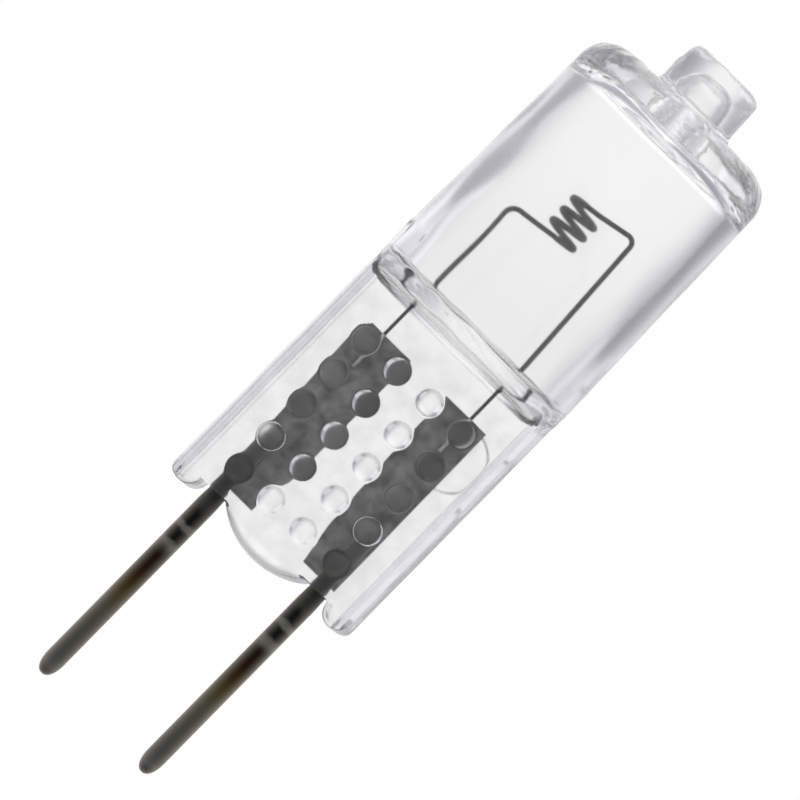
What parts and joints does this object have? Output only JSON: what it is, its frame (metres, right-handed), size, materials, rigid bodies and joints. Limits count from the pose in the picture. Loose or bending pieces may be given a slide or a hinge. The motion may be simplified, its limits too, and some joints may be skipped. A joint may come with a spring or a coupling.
{
  "type": "halogen bulb",
  "caption": "Bi-pin halogen capsule bulb: a clear quartz bulb round an upright wire coil, pinched flat below over sealed foils, with straight contact pins.",
  "frame": {"origin": "midway between the two contact pins, level with the feet of the pinch, where the lamp stops against its holder", "axes": "+Z along the lamp from the pins to the sealed tip, X through both pins, -Y out of the face of the pinch that carries the pips"},
  "size_m": [0.0112, 0.0112, 0.0409],
  "materials": {
    "quartz": "fire-polished clear quartz, slightly wavy",
    "tungsten": "dark drawn wire",
    "molybdenum_foil": "dull grey foil",
    "molybdenum_pin": "satin drawn rod, heat tinted near the glass"
  },
  "bodies": {
    "root": {"quartz_envelope": "quartz", "filament": "tungsten", "seal_foil_left": "molybdenum_foil", "seal_foil_right": "molybdenum_foil", "contact_pin_left": "molybdenum_pin", "contact_pin_right": "molybdenum_pin"}
  },
  "joints": []
}
